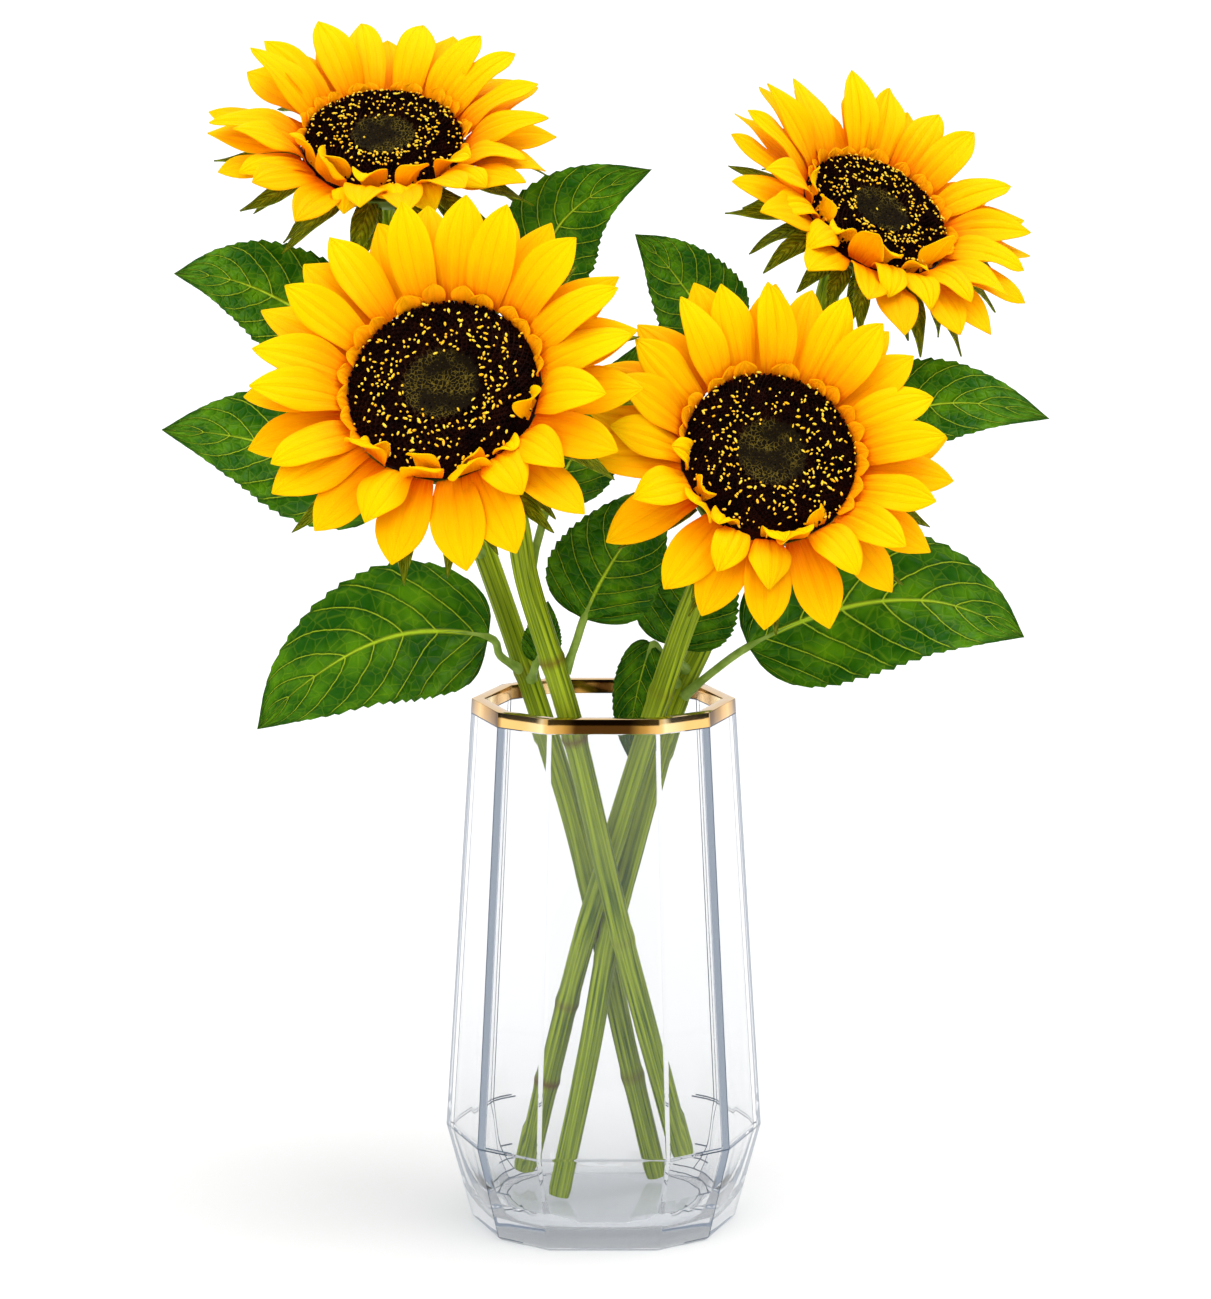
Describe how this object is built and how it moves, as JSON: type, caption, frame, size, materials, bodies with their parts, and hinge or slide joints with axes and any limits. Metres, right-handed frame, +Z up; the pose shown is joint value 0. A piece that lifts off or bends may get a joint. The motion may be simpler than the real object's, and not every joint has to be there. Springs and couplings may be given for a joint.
{
  "type": "sunflowers in a vase",
  "caption": "Cut sunflowers with dark discs, yellow rays and broad leaves, stems crossed in a tall faceted clear glass vase with a gold rim.",
  "frame": {"origin": "middle of the vase's foot, on the table", "axes": "+Z up along the vase's axis; -Y to the front, where the two lower flowers lean out; +X to the right"},
  "size_m": [0.3669, 0.2636, 0.5009],
  "materials": {
    "clear_glass": "polished",
    "gold": "polished",
    "stem_green": "satin",
    "leaf_green": "satin",
    "bract_green": "satin",
    "petal_yellow": "satin",
    "petal_golden": "satin",
    "disc_brown": "matte"
  },
  "bodies": {
    "root": {"vase_glass": "clear_glass", "gold_rim": "gold", "stem_back_left": "stem_green", "stem_front_left": "stem_green", "stem_back_right": "stem_green", "stem_front_right": "stem_green", "receptacle_back_left": "bract_green", "receptacle_front_left": "bract_green", "receptacle_back_right": "bract_green", "receptacle_front_right": "bract_green", "bracts_back_left": "bract_green", "bracts_front_left": "bract_green", "bracts_back_right": "bract_green", "bracts_front_right": "bract_green", "rays_outer_back_left": "petal_golden", "rays_outer_front_left": "petal_golden", "rays_outer_back_right": "petal_golden", "rays_outer_front_right": "petal_golden", "rays_inner_back_left": "petal_yellow", "rays_inner_front_left": "petal_yellow", "rays_inner_back_right": "petal_yellow", "rays_inner_front_right": "petal_yellow", "disc_back_left": "disc_brown", "disc_front_left": "disc_brown", "disc_back_right": "disc_brown", "disc_front_right": "disc_brown", "leaf_lower_left": "leaf_green", "leaf_mid_left": "leaf_green", "leaf_upper_left": "leaf_green", "leaf_top_centre": "leaf_green", "leaf_top_right": "leaf_green", "leaf_right": "leaf_green", "leaf_lower_right": "leaf_green", "leaf_centre": "leaf_green", "leaf_behind_right": "leaf_green", "leaf_in_vase": "leaf_green", "leaf_behind_left": "leaf_green", "leaf_small": "leaf_green"}
  },
  "joints": []
}
